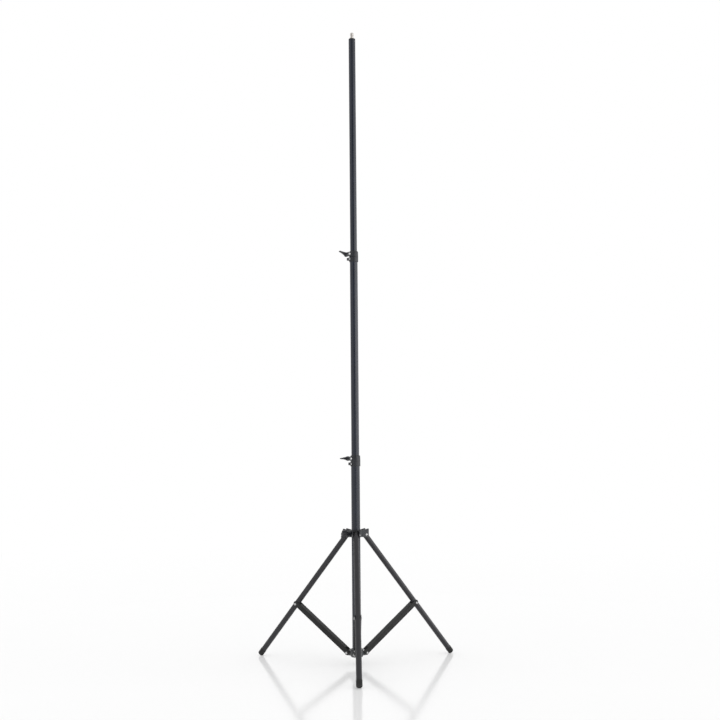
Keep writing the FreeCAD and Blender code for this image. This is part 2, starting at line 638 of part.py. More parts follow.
def make_hub_knob():
    end = KNOB_START + KNOB_LENGTH
    half_span = KNOB_SPAN / 2
    half_thickness = KNOB_THICKNESS / 2
    root_half = half_span * WING_ROOT_SHARE
    core = rod_x(KNOB_CORE_R, KNOB_START, end - KNOB_CORE_SHORTER)
    wings = rounded_plate([
        (KNOB_START + WING_ROOT, -root_half, WING_ROOT_R),
        (KNOB_START + WING_SHOULDER, -half_span, WING_TIP_R),
        (end, -half_span, WING_TIP_R),
        (end - WING_DIP, 0, WING_DIP_R),
        (end, half_span, WING_TIP_R),
        (KNOB_START + WING_SHOULDER, half_span, WING_TIP_R),
        (KNOB_START + WING_ROOT, root_half, WING_ROOT_R),
    ], -half_thickness, half_thickness)
    knob = fused([core, wings])
    knob = knob.cut(rod_x(STUD_R, KNOB_START - CUT_MARGIN, end - STUD_GRIP))
    stud = rod_x(STUD_R, PAD_BACK + SLIDE_GAP, end - STUD_GRIP)
    for node, shape in (("hub_knob", knob), ("hub_knob_stud", stud)):
        shape.rotate(ORIGIN, X_AXIS, -KNOB_TURN)
        shape.translate(Vector(0, 0, KNOB_Z))
        save(node, around_mast(shape, CLAMP_AZIMUTH))


def make_leg(name, azimuth):
    foot_low = -LEG_LENGTH
    tube = tube_z(LEG_R, LEG_R - LEG_WALL, foot_low + FOOT_SOLE, LEG_TOP_ROOM)
    for pivot_z in (0, -LEG_TO_BRACE):
        tube = tube.cut(rod_y(PIN_HOLE_R, -CUT_REACH, CUT_REACH, 0, pivot_z))
    save(f"leg_tube_{name}", place_leg_part(tube, azimuth))

    plug_r = LEG_R - LEG_WALL - FIT_GAP
    dome = Part.makeSphere(LEG_R).common(rod_z(LEG_R, 0, LEG_R))
    dome.translate(Vector(0, 0, LEG_TOP_ROOM))
    plug = fused([rod_z(plug_r, -LEG_PLUG_DEPTH, LEG_TOP_ROOM), dome])
    plug = plug.cut(rod_y(PIN_HOLE_R, -CUT_REACH, CUT_REACH))
    save(f"leg_plug_{name}", place_leg_part(plug, azimuth))
    pin = rod_y(PIVOT_PIN_R, -LEG_R, LEG_R)
    save(f"leg_pin_{name}", place_leg_part(pin, azimuth))

    foot = rod_z(FOOT_R, foot_low, foot_low + FOOT_LENGTH)
    sole_edges = [edge for edge in foot.Edges
                  if edge.Closed and edge.BoundBox.ZMax < foot_low + FOOT_SOLE]
    foot = foot.makeFillet(FOOT_ROUND, sole_edges)
    foot_top = foot_low + FOOT_LENGTH
    foot = foot.cut(rod_z(LEG_R, foot_low + FOOT_SOLE, foot_top + CUT_MARGIN))
    save(f"foot_{name}", place_leg_part(foot, azimuth))


def make_brace(name, azimuth):
    outer = BRACE_HALF_GAP + BRACE_WALL
    web_out = -BRACE_WEB_IN - BRACE_WALL
    end_r = (BRACE_FREE_EDGE - web_out) / 2
    corner_r = end_r - BRACE_END_EASE
    flange_outline = rounded_plate([
        (web_out, -end_r, corner_r),
        (BRACE_FREE_EDGE, -end_r, corner_r),
        (BRACE_FREE_EDGE, BRACE_LENGTH + end_r, corner_r),
        (web_out, BRACE_LENGTH + end_r, corner_r),
    ], -outer, outer)
    section = box(web_out, BRACE_FREE_EDGE, -outer, outer, -2 * end_r, BRACE_LENGTH + 2 * end_r)
    bends = [edge for edge in section.Edges
             if edge.BoundBox.XMax < web_out + BRACE_WALL and edge.Length > BRACE_LENGTH]
    section = section.makeFillet(BRACE_BEND_R, bends)
    hollow = box(web_out + BRACE_WALL, BRACE_FREE_EDGE + CUT_MARGIN, -BRACE_HALF_GAP,
                 BRACE_HALF_GAP, -3 * end_r, BRACE_LENGTH + 3 * end_r)
    channel = flange_outline.common(section).cut(hollow)
    for low, high in ((-2 * end_r, BRACE_WEB_CUT),
                      (BRACE_LENGTH - BRACE_WEB_CUT, BRACE_LENGTH + 2 * end_r)):
        channel = channel.cut(box(web_out - CUT_MARGIN, CUT_MARGIN - BRACE_WEB_IN,
                                  -BRACE_HALF_GAP, BRACE_HALF_GAP, low, high))
    for pivot_z in (0, BRACE_LENGTH):
        channel = channel.cut(rod_y(PIN_HOLE_R, -CUT_REACH, CUT_REACH, 0, pivot_z))
    save(f"brace_{name}", place_brace_part(channel, azimuth))

    washers = []
    for place, pivot_z, inner in (("lower", 0, LUG_HALF_WIDTH), ("upper", BRACE_LENGTH, LEG_R)):
        shank = rod_y(PIVOT_PIN_R, -outer, outer, 0, pivot_z)
        heads = [head_along_y(RIVET_HEAD_R, RIVET_HEAD_HEIGHT, 0, side * outer, pivot_z, side)
                 for side in (-1, 1)]
        rivet = fused([shank] + heads)
        save(f"brace_{place}_rivet_{name}", place_brace_part(rivet, azimuth))
        for side in (-1, 1):
            low, high = sorted((side * (inner + WASHER_GAP), side * BRACE_HALF_GAP))
            washer = rod_y(WASHER_R, low, high, 0, pivot_z)
            washer = washer.cut(rod_y(PIN_HOLE_R, -CUT_REACH, CUT_REACH, 0, pivot_z))
            washers.append(place_brace_part(washer, azimuth))
    save(f"brace_washers_{name}", *washers)


os.makedirs("parts", exist_ok=True)
make_base_section()
make_middle_section()
make_top_section()
make_collar("lower", BASE_TUBE_R, MID_TUBE_R, LOWER_COLLAR_Z)
make_collar("upper", MID_TUBE_R, TOP_TUBE_R, UPPER_COLLAR_Z)
make_lever("lower", LOWER_COLLAR_Z, 0.0)
make_lever("upper", UPPER_COLLAR_Z, UPPER_LEVER_LIFT)
make_leg_hub()
make_hub_rivets()
make_hub_knob()
for leg_name, leg_azimuth in LEG_AZIMUTHS.items():
    make_leg(leg_name, leg_azimuth)
    make_brace(leg_name, leg_azimuth)
print(f"upper pivot {UPPER_PIVOT_Z:.2f}, brace tilt {math.degrees(BRACE_TILT):.3f} deg, "
      f"leg length {LEG_LENGTH:.2f}")
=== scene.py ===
import bpy
import bmesh
import json
import math
from mathutils import Matrix, Vector


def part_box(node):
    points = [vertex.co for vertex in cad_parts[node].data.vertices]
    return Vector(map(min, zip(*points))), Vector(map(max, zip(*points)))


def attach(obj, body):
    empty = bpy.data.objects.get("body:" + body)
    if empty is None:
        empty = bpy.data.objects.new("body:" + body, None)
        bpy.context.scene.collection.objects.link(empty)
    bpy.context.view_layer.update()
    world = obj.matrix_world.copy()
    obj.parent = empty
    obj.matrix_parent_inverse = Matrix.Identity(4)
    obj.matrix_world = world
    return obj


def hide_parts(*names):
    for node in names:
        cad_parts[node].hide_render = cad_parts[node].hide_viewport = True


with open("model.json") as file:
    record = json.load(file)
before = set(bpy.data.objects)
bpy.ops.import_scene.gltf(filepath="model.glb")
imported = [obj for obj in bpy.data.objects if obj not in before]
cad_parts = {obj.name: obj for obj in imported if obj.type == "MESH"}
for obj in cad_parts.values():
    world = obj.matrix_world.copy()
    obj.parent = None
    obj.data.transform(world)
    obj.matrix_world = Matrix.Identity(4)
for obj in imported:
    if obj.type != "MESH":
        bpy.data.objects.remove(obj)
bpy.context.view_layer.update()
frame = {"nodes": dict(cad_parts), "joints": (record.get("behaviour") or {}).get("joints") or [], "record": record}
nodes = frame["nodes"]
record = frame["record"]
joints = {row["name"]: row for row in frame["joints"]}
slotOfNode = {row["node"]: row["material_slot"] for row in record["subparts"]}
bodyOfNode = {node: body for body, members in record["behaviour"]["bodies"].items()
              for node in members}
legNames = ("front", "right", "left")
mm = 0.001  # the pieces' dictionaries give lengths in millimetres
print("frame loaded:", len(nodes), "nodes")


# places, all read from the frame

def centreOf(node):
    low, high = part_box(node)
    return (low + high) / 2


def bottomOf(node):
    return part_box(node)[0].z


def topOf(node):
    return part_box(node)[1].z


def radiusOf(node):
    low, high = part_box(node)
    return (high.x - low.x) / 2


def bearingOf(direction):
    return math.atan2(direction[1], direction[0])


def upright(height, bearing=0.0):
    return Matrix.Translation((0, 0, height)) @ Matrix.Rotation(bearing, 4, "Z")


def linkFrame(start, end):
    # local Z from start to end, local Y level and square to the mast's radius
    up = (end - start).normalized()
    bearing = bearingOf(start)
    side = Vector((-math.sin(bearing), math.cos(bearing), 0))
    out = side.cross(up)
    turn = Matrix((out, side, up)).transposed().to_4x4()
    return Matrix.Translation(start) @ turn


def legFrame(name):
    top = centreOf(f"leg_pin_{name}")
    knee = Vector(joints[f"leg_{name}_fold"]["pos_m"])
    return linkFrame(knee, top) @ Matrix.Translation((0, 0, (top - knee).length))


def braceFrame(name):
    return linkFrame(Vector(joints[f"brace_{name}_fold"]["pos_m"]),
                     Vector(joints[f"leg_{name}_fold"]["pos_m"]))


clampBearing = bearingOf(joints["knob_turn"]["axis"])
alongY = Matrix.Rotation(math.radians(-90), 4, "X")   # a piece turned about Z, laid along Y
alongX = Matrix.Rotation(math.radians(90), 4, "Y")    # the same, laid along X
flip = Matrix.Rotation(math.radians(180), 4, "X")


# materials

def addNode(tree, kind, inputs=None, **settings):
    node = tree.nodes.new(kind)
    for key, value in settings.items():
        setattr(node, key, value)
    for key, value in (inputs or {}).items():
        node.inputs[key].default_value = value
    return node


def newMaterial(name):
    material = bpy.data.materials.new(name)
    material.use_nodes = True
    tree = material.node_tree
    tree.nodes.clear()
    return material, tree


def addRamp(tree, source, low, high, lowAt, highAt):
    ramp = addNode(tree, "ShaderNodeValToRGB")
    stops = ramp.color_ramp.elements
    stops[0].position, stops[0].color = lowAt, low
    stops[1].position, stops[1].color = highAt, high
    tree.links.new(source, ramp.inputs["Fac"])
    return ramp.outputs["Color"]


def addNoise(tree, place, stretch, scale, detail=4.0, rough=0.6):
    mapping = addNode(tree, "ShaderNodeMapping", {"Scale": stretch})
    noise = addNode(tree, "ShaderNodeTexNoise",
                    {"Scale": scale, "Detail": detail, "Roughness": rough})
    tree.links.new(place, mapping.inputs["Vector"])
    tree.links.new(mapping.outputs["Vector"], noise.inputs["Vector"])
    return noise.outputs["Fac"]


def addBlend(tree, amount, under, over):
    blend = addNode(tree, "ShaderNodeMix", data_type="RGBA")
    tree.links.new(amount, blend.inputs["Factor"])
    tree.links.new(under, blend.inputs["A"])
    if isinstance(over, tuple):
        blend.inputs["B"].default_value = over
    else:
        tree.links.new(over, blend.inputs["B"])
    return blend.outputs["Result"]


def grey(level, warm=0.0):
    return (level * (1 + warm), level, level * (1 - warm), 1)


black, white = grey(0.0), grey(1.0)

commonFinish = {
    "dark": grey(0.012), "light": grey(0.018), "cloudScale": 18.0, "cloudStretch": (1, 1, 1),
    "roughness": (0.26, 0.36), "grain": "noise", "grainScale": 900.0, "grainStretch": (1, 1, 1),
    "grainHeight": 0.012, "streakStretch": (1, 1, 0.03), "streakScale": 420.0,
    "streakHeight": 0.006, "scratchColour": grey(0.06), "scratchStretch": (1, 1, 0.05),
    "scratchScale": 210.0, "scratchAt": (0.70, 0.76), "wearColour": grey(0.07),
    "wearAt": (0.53, 0.62), "metallic": 0.0, "specular": 0.5,
    "anisotropic": 0.0, "cloudAt": (0.35, 0.65), "streakDetail": 3.0, "scratchDetail": 6.0,
    "scratchRough": 0.7, "grainDetail": 2.0,
}
noiseSpread = (0.3, 0.7)  # where nearly all of a noise pattern's values lie


def makeFinish(name, **changes):
    finish = {**commonFinish, **changes}
    material, tree = newMaterial(name)
    out = addNode(tree, "ShaderNodeOutputMaterial")
    shader = addNode(tree, "ShaderNodeBsdfPrincipled", {
        "Metallic": finish["metallic"], "Specular IOR Level": finish["specular"],
        "Anisotropic": finish["anisotropic"]})
    place = addNode(tree, "ShaderNodeTexCoord").outputs["Object"]

    cloud = addNoise(tree, place, finish["cloudStretch"], finish["cloudScale"])
    streak = addNoise(tree, place, finish["streakStretch"], finish["streakScale"],
                      finish["streakDetail"])
    scratch = addNoise(tree, place, finish["scratchStretch"], finish["scratchScale"],
                       finish["scratchDetail"], finish["scratchRough"])
    scratched = addRamp(tree, scratch, black, white, *finish["scratchAt"])
    edges = addNode(tree, "ShaderNodeNewGeometry").outputs["Pointiness"]
    worn = addRamp(tree, edges, black, white, *finish["wearAt"])

    colour = addRamp(tree, cloud, finish["dark"], finish["light"], *finish["cloudAt"])
    colour = addBlend(tree, scratched, colour, finish["scratchColour"])
    colour = addBlend(tree, worn, colour, finish["wearColour"])
    tree.links.new(colour, shader.inputs["Base Color"])

    gloss = addNode(tree, "ShaderNodeMapRange", {
        "From Min": noiseSpread[0], "From Max": noiseSpread[1],
        "To Min": finish["roughness"][0], "To Max": finish["roughness"][1]})
    tree.links.new(streak, gloss.inputs["Value"])
    tree.links.new(gloss.outputs["Result"], shader.inputs["Roughness"])

    if finish["grain"] == "cells":
        cells = addNode(tree, "ShaderNodeTexVoronoi", {"Scale": finish["grainScale"]})
        tree.links.new(place, cells.inputs["Vector"])
        grain = cells.outputs["Distance"]
    else:
        grain = addNoise(tree, place, finish["grainStretch"], finish["grainScale"],
                         finish["grainDetail"])
    fine = addNode(tree, "ShaderNodeBump",
                   {"Strength": 1.0, "Distance": finish["grainHeight"] * mm})
    long = addNode(tree, "ShaderNodeBump",
                   {"Strength": 1.0, "Distance": finish["streakHeight"] * mm})
    tree.links.new(grain, fine.inputs["Height"])
    tree.links.new(streak, long.inputs["Height"])
    tree.links.new(fine.outputs["Normal"], long.inputs["Normal"])
    tree.links.new(long.outputs["Normal"], shader.inputs["Normal"])
    tree.links.new(shader.outputs["BSDF"], out.inputs["Surface"])
    return material


materials = {
    "tube": makeFinish("mastLacquer", dark=(0.0060, 0.0095, 0.0190, 1),
                       light=(0.0090, 0.0135, 0.0255, 1), roughness=(0.22, 0.30)),
    "leg_tube": makeFinish("legLacquer", dark=(0.0195, 0.0190, 0.0225, 1),
                           light=(0.0260, 0.0255, 0.0295, 1),
                           roughness=(0.30, 0.40), scratchAt=(0.69, 0.76), specular=0.4),
    "brace": makeFinish("braceLacquer", dark=grey(0.022), light=grey(0.031),
                        roughness=(0.44, 0.56), wearAt=(0.54, 0.64), specular=0.18),
    "casting": makeFinish("castBlack", dark=(0.0095, 0.0110, 0.0150, 1),
                          light=(0.0150, 0.0170, 0.0220, 1), cloudScale=60.0,
                          roughness=(0.32, 0.44), grain="cells", grainScale=1500.0,
                          grainHeight=0.03, streakStretch=(1, 1, 1), streakScale=300.0,
                          scratchStretch=(1, 1, 1), scratchAt=(0.74, 0.80)),
    "handle": makeFinish("handleBlack", dark=(0.0100, 0.0105, 0.0140, 1),
                         light=(0.0150, 0.0155, 0.0200, 1), cloudScale=80.0,
                         roughness=(0.34, 0.46), grain="cells", grainScale=1800.0,
                         grainHeight=0.02, streakStretch=(1, 1, 1), streakScale=260.0,
                         scratchStretch=(1, 1, 1), scratchAt=(0.74, 0.80),
                         wearColour=grey(0.04)),
    "nylon": makeFinish("nylonBlack", dark=grey(0.014), light=grey(0.020), cloudScale=60.0,
                        roughness=(0.38, 0.48), streakStretch=(1, 1, 1), streakScale=200.0,
                        scratchStretch=(1, 1, 1), scratchAt=(0.76, 0.82),
                        wearColour=grey(0.035)),
    "rubber": makeFinish("footRubber", dark=grey(0.016), light=grey(0.028), cloudScale=90.0,
                         roughness=(0.62, 0.80), grain="cells", grainScale=1100.0,
                         grainHeight=0.05, streakStretch=(1, 1, 1), streakScale=300.0,
                         scratchStretch=(1, 1, 1), scratchAt=(0.66, 0.80),
                         scratchColour=grey(0.07, 0.05), wearColour=grey(0.05, 0.05),
                         specular=0.35),
    "steel": makeFinish("brightZinc", dark=grey(0.44), light=grey(0.62), cloudScale=220.0,
                        roughness=(0.16, 0.30), metallic=1.0, streakStretch=(1, 1, 1),
                        streakScale=500.0, scratchStretch=(1, 1, 1),
                        scratchColour=grey(0.40), scratchAt=(0.66, 0.74),
                        wearColour=grey(0.85), wearAt=(0.56, 0.70)),
    "spigot": makeFinish("turnedNickel", dark=grey(0.50, 0.05), light=grey(0.64, 0.05),
                         cloudScale=120.0, roughness=(0.22, 0.38), metallic=1.0,
                         streakStretch=(0.02, 0.02, 1), streakScale=2600.0, streakHeight=0.02,
                         scratchStretch=(0.1, 0.1, 1), scratchColour=grey(0.36, 0.05),
                         scratchAt=(0.66, 0.74), wearColour=grey(0.74, 0.04),
                         wearAt=(0.56, 0.70), anisotropic=0.4),
}
for name, obj in nodes.items():
    obj.data.materials.clear()
    obj.data.materials.append(materials[slotOfNode[name]])
print("materials made:", len(materials))


# mesh helpers

meshWork = {"onAxis": 1e-6, "weld": 0.002, "flatAngle": 1.2}
crossLook = {"slots": 9, "bottomScale": 0.6, "topScale": 1.1}
turns = {"fine": 96, "leg": 80, "part": 72, "plain": 64, "screw": 48, "small": 40, "pin": 32}


def pieceName(node):
    first, *rest = node.split("_")
    return first + "".join(word.capitalize() for word in rest)


def newObject(name, bm, place=Matrix.Identity(4)):
    bmesh.ops.recalc_face_normals(bm, faces=bm.faces)
    mesh = bpy.data.meshes.new(name)
    bm.to_mesh(mesh)
    bm.free()
    obj = bpy.data.objects.new(name, mesh)
    bpy.context.scene.collection.objects.link(obj)
    obj.matrix_world = place
    return obj


def applyModifiers(obj):
    graph = bpy.context.evaluated_depsgraph_get()
    mesh = bpy.data.meshes.new_from_object(obj.evaluated_get(graph))
    obj.modifiers.clear()
    obj.data = mesh


def addModifier(obj, kind, **settings):
    modifier = obj.modifiers.new(kind.lower(), kind)
    for key, value in settings.items():
        setattr(modifier, key, value)
    return modifier


def finishPiece(obj, node, sharpAngle=38):
    obj.data.materials.clear()
    obj.data.materials.append(materials[slotOfNode[node]])
    obj.data.shade_smooth()
    obj.data.set_sharp_from_angle(angle=math.radians(sharpAngle))
    addModifier(obj, "WEIGHTED_NORMAL", keep_sharp=True)
    applyModifiers(obj)
    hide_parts(node)
    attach(obj, bodyOfNode[node])
    return obj


def easedOutline(corners, steps=4):
    # (radius, height, corner radius) corners become one outline with round corners
    points = []
    for index, (radius, height, ease) in enumerate(corners):
        here = Vector((radius, height))
        if ease <= 0:
            points.append(here)
            continue
        back = (Vector(corners[index - 1][:2]) - here).normalized()
        ahead = (Vector(corners[(index + 1) % len(corners)][:2]) - here).normalized()
        half = back.angle(ahead) / 2
        centre = here + (back + ahead).normalized() * (ease / math.sin(half))
        start = here + back * (ease / math.tan(half)) - centre
        sweep = start.angle_signed(here + ahead * (ease / math.tan(half)) - centre)
        for step in range(steps + 1):
            arm = start.copy()
            arm.rotate(Matrix.Rotation(-sweep * step / steps, 2))
            points.append(centre + arm)
    return points


def domeOutline(radius, height, base, rim=0.3, steps=6):
    # a low round head that stands on the level called base
    rise = height - rim
    ball = (radius ** 2 + rise ** 2) / (2 * rise)
    reach = math.asin(radius / ball)
    points = [Vector((radius, base)), Vector((radius, base + rim))]
    for step in range(1, steps + 1):
        angle = reach * (1 - step / steps)
        points.append(Vector((ball * math.sin(angle),
                              base + height - ball + ball * math.cos(angle))))
    return points


def addTurned(bm, outline, place=Matrix.Identity(4), segments=64, hollow=False):
    # an outline of (radius, height) points turned about Z
    rings = []
    for radius, height in outline:
        if radius < meshWork["onAxis"]:
            rings.append([bm.verts.new(place @ Vector((0, 0, height * mm)))])
            continue
        ring = []
        for step in range(segments):
            angle = 2 * math.pi * step / segments
            spot = Vector((radius * math.cos(angle), radius * math.sin(angle), height)) * mm
            ring.append(bm.verts.new(place @ spot))
        rings.append(ring)
    pairs = list(zip(rings, rings[1:]))
    if hollow:
        pairs.append((rings[-1], rings[0]))
    for lower, upper in pairs:
        for step in range(segments):
            after = (step + 1) % segments
            if len(lower) == 1 and len(upper) == 1:
                break
            if len(lower) == 1:
                bm.faces.new((lower[0], upper[after], upper[step]))
            elif len(upper) == 1:
                bm.faces.new((lower[step], lower[after], upper[0]))
            else:
                bm.faces.new((lower[step], lower[after], upper[after], upper[step]))


def turnedPiece(node, outline, place, segments=64, hollow=False):
    bm = bmesh.new()
    addTurned(bm, outline, segments=segments, hollow=hollow)
    return finishPiece(newObject(pieceName(node), bm, place), node)


def cadCopy(node, place):
    # the CAD node's mesh, welded and in the piece's own frame
    bm = bmesh.new()
    bm.from_mesh(nodes[node].data)
    bmesh.ops.remove_doubles(bm, verts=bm.verts, dist=meshWork["weld"] * mm)
    bmesh.ops.transform(bm, matrix=place.inverted(), verts=bm.verts)
    return bm


def easedPiece(node, place, ease, segments=3, sharpAngle=40):
    # every sharp edge of the CAD shape gets a small round
    bm = cadCopy(node, place)
    bmesh.ops.dissolve_limit(bm, angle_limit=math.radians(meshWork["flatAngle"]),
                             verts=bm.verts, edges=bm.edges, use_dissolve_boundaries=False)
    obj = newObject(pieceName(node), bm, place)
    addModifier(obj, "BEVEL", width=ease * mm, segments=segments, limit_method="ANGLE",
                angle_limit=math.radians(sharpAngle), miter_outer="MITER_ARC",
                use_clamp_overlap=True)
    applyModifiers(obj)
    return finishPiece(obj, node)


def mouldedPiece(node, place, voxel, rounds, shape=None):
    # one even skin over the CAD shape, with its edges melted round
    obj = newObject(pieceName(node), cadCopy(node, place), place)
    addModifier(obj, "REMESH", mode="VOXEL", voxel_size=voxel * mm)
    addModifier(obj, "SMOOTH", iterations=rounds, factor=0.5)
    applyModifiers(obj)
    if shape:
        for vertex in obj.data.vertices:
            vertex.co = shape(vertex.co / mm, vertex.normal) * mm
    return finishPiece(obj, node, 180)


def carveCross(obj, centre, axisFrame, across, deep):
    # a cross recess, sunk from the head's top along the frame's Z
    bm = bmesh.new()
    arm, half = across / 2, across / crossLook["slots"]
    outline = ((half, half), (arm, half), (arm, -half), (half, -half), (half, -arm),
               (-half, -arm), (-half, -half), (-arm, -half), (-arm, half), (-half, half),
               (-half, arm), (half, arm))
    narrow, wide = crossLook["bottomScale"], crossLook["topScale"]
    low = [bm.verts.new(Vector((x * narrow, y * narrow, -deep)) * mm) for x, y in outline]
    high = [bm.verts.new(Vector((x * wide, y * wide, deep)) * mm) for x, y in outline]
    bm.faces.new(low)
    bm.faces.new(high)
    for index in range(len(outline)):
        after = (index + 1) % len(outline)
        bm.faces.new((low[index], low[after], high[after], high[index]))
    cutter = newObject("crossCutter", bm, obj.matrix_world @ axisFrame
                       @ Matrix.Translation((0, 0, centre * mm)))
    addModifier(obj, "BOOLEAN", operation="DIFFERENCE", solver="EXACT", object=cutter)
    bpy.context.view_layer.update()
    applyModifiers(obj)
    bpy.data.objects.remove(cutter)


# mast tubes and foot cap

tubeLook = {"wall": 1.2, "endEase": 0.4}


def makeTube(node):
    radius, low, high = radiusOf(node) / mm, bottomOf(node) / mm, topOf(node) / mm
    inner, ease = radius - tubeLook["wall"], tubeLook["endEase"]
    outline = easedOutline([(radius, low, ease), (radius, high, ease),
                            (inner, high, ease), (inner, low, ease)])
    turnedPiece(node, outline, Matrix.Identity(4), turns["fine"], hollow=True)


footCap = {"flange": 25.5, "edge": 1.2, "dish": 1.0, "dishRadius": 18.0, "dishEdge": 1.2,
           "plug": 17.75, "plugHollow": 15.25, "plugTop": 12.6, "flangeTop": 4.0,
           "dishEase": 0.5, "innerEase": 0.3, "plugEase": 0.8}


def makeFootCap():
    cap = footCap
    outline = easedOutline([
        (0, cap["dish"], 0), (cap["dishRadius"], cap["dish"], cap["dishEase"]),
        (cap["dishRadius"] + cap["dishEdge"], 0, cap["dishEase"]),
        (cap["flange"], 0, cap["edge"]), (cap["flange"], cap["flangeTop"], cap["innerEase"]),
        (cap["plug"], cap["flangeTop"], 0), (cap["plug"], cap["plugTop"], cap["plugEase"]),
        (cap["plugHollow"], cap["plugTop"], cap["innerEase"]),
        (cap["plugHollow"], cap["flangeTop"], 0), (0, cap["flangeTop"], 0)])
    turnedPiece("base_cap", outline, upright(bottomOf("base_cap")))


for tube in ("base_tube", "middle_tube", "top_tube"):
    makeTube(tube)
makeFootCap()
print("mast tubes made")


# spigot, its cap and its screw

spigotLook = {"radius": 8.0, "tail": 7.0, "shoulder": 0.5, "neck": 5.5, "lip": 3.0,
              "depth": 22.0, "base": 10.0, "neckLength": 4.0, "head": 14.0,
              "headChamfer": 3.0, "centreMark": 1.2, "ease": 0.8, "rimEase": 0.5, "markEase": 0.15,
              "neckFall": 1.0, "neckRise": 1.5, "headFall": 3.5}


def makeSpigot():
    look = spigotLook
    radius, neck, tail = look["radius"], look["neck"], look["tail"]
    neckAt = look["base"]
    headAt = neckAt + look["neckLength"]
    end = headAt + look["head"]
    ease, rim = look["ease"], look["rimEase"]
    outline = easedOutline([
        (0, -look["depth"] - look["lip"], 0), (tail, -look["depth"] - look["lip"], rim),
        (tail, 0, 0), (radius - look["shoulder"], 0, 0), (radius, look["shoulder"], 0),
        (radius, neckAt, rim), (neck, neckAt + look["neckFall"], ease), (neck, headAt, ease),
        (radius, headAt + look["neckRise"], rim), (radius, end - look["headFall"], ease),
        (radius - look["headChamfer"], end, ease), (look["centreMark"], end, look["markEase"]),
        (0, end - look["centreMark"], 0)])
    turnedPiece("spigot", outline, upright(topOf("top_cap")), turns["part"])


capLook = {"bore": 7.05, "edge": 1.4, "plugGap": 0.05, "plugEase": 1.0, "seatEase": 0.2,
           "boreEase": 0.4, "floor": 2.0}


def makeTopCap():
    outer, lip = radiusOf("top_tube") / mm, spigotLook["lip"]
    plug = outer - tubeLook["wall"] - capLook["plugGap"]
    low = (bottomOf("top_cap") - topOf("top_tube")) / mm
    floor = low + capLook["floor"]
    outline = easedOutline([
        (0, low, 0), (plug, low, capLook["plugEase"]), (plug, 0, 0),
        (outer, 0, capLook["seatEase"]), (outer, lip, capLook["edge"]),
        (capLook["bore"], lip, capLook["boreEase"]), (capLook["bore"], floor, 0),
        (0, floor, 0)])
    turnedPiece("top_cap", outline, upright(topOf("top_tube")), turns["part"])


screwTip = 0.4  # the chamfer at a screw's end


def addScrew(bm, place, shank, start, seat, headRadius, headHeight):
    # a domed screw along Z: its shank from start to seat, its head above
    outline = [Vector((0, start)), Vector((shank - screwTip, start)),
               Vector((shank, start + screwTip)), Vector((shank, seat))]
    outline += domeOutline(headRadius, headHeight, seat)
    addTurned(bm, outline, place, turns["screw"])


spigotScrew = {"shank": 2.0, "head": 3.8, "height": 1.9, "cross": 3.6, "deep": 0.9,
               "gap": 0.1}


def makeSpigotScrew():
    look = spigotScrew
    centre = centreOf("spigot_screw")
    place = upright(centre.z, bearingOf(centre))
    seat = radiusOf("top_tube") / mm
    bm = bmesh.new()
    addScrew(bm, alongX, look["shank"], spigotLook["tail"] + look["gap"], seat,
             look["head"], look["height"])
    obj = newObject("spigotScrew", bm, place)
    carveCross(obj, seat + look["height"], alongX, look["cross"], look["deep"])
    finishPiece(obj, "spigot_screw")


makeSpigot()
makeTopCap()
makeSpigotScrew()
print("spigot made")


# split collars, their bolts, screws and nuts

collarLook = {"ease": 0.55, "bushEase": 0.2, "boltAt": 26.5, "boltHeight": 34.0,
              "boltRadius": 3.0, "boltStart": -23.5, "earHalf": 8.6, "boltHead": 6.0,
              "boltHeadHeight": 3.4, "screwAt": 25.3, "screwHeight": 11.0, "screwRadius": 2.0,
              "screwHead": 4.0, "screwHeadHeight": 2.4, "screwEnd": 11.2, "lugHalf": 7.6,
              "nutAcross": 7.0, "nutThick": 3.2, "nutGap": 0.05, "nutSharp": 25, "boltTip": 0.5,
              "boltRim": 0.7, "headSteps": 8, "cross": 3.8, "crossDeep": 1.1}
nutLook = {"face": 0.98, "slope": 0.58}


def addHexNut(bm, place, across, bore, low, high, segments=turns["part"]):
    # a six-sided nut whose corners are turned off at both ends
    flat = across / 2
    face = flat * nutLook["face"]
    rings = []
    for level, kind in ((low, "bore"), (low, "face"), (low, "corner"), (high, "corner"),
                        (high, "face"), (high, "bore")):
        ring = []
        inward = 1 if level == low else -1
        for step in range(segments):
            angle = 2 * math.pi * step / segments
            hexRadius = flat / math.cos((angle + math.pi / 6) % (math.pi / 3) - math.pi / 6)
            radius = {"bore": bore, "face": face, "corner": hexRadius}[kind]
            slope = inward * nutLook["slope"] * (hexRadius - face)
            drop = slope if kind == "corner" else 0.0
            spot = Vector((radius * math.cos(angle), radius * math.sin(angle), level + drop))
            ring.append(bm.verts.new(place @ (spot * mm)))
        rings.append(ring)
    for lower, upper in zip(rings, rings[1:] + rings[:1]):
        for step in range(segments):
            after = (step + 1) % segments
            bm.faces.new((lower[step], lower[after], upper[after], upper[step]))


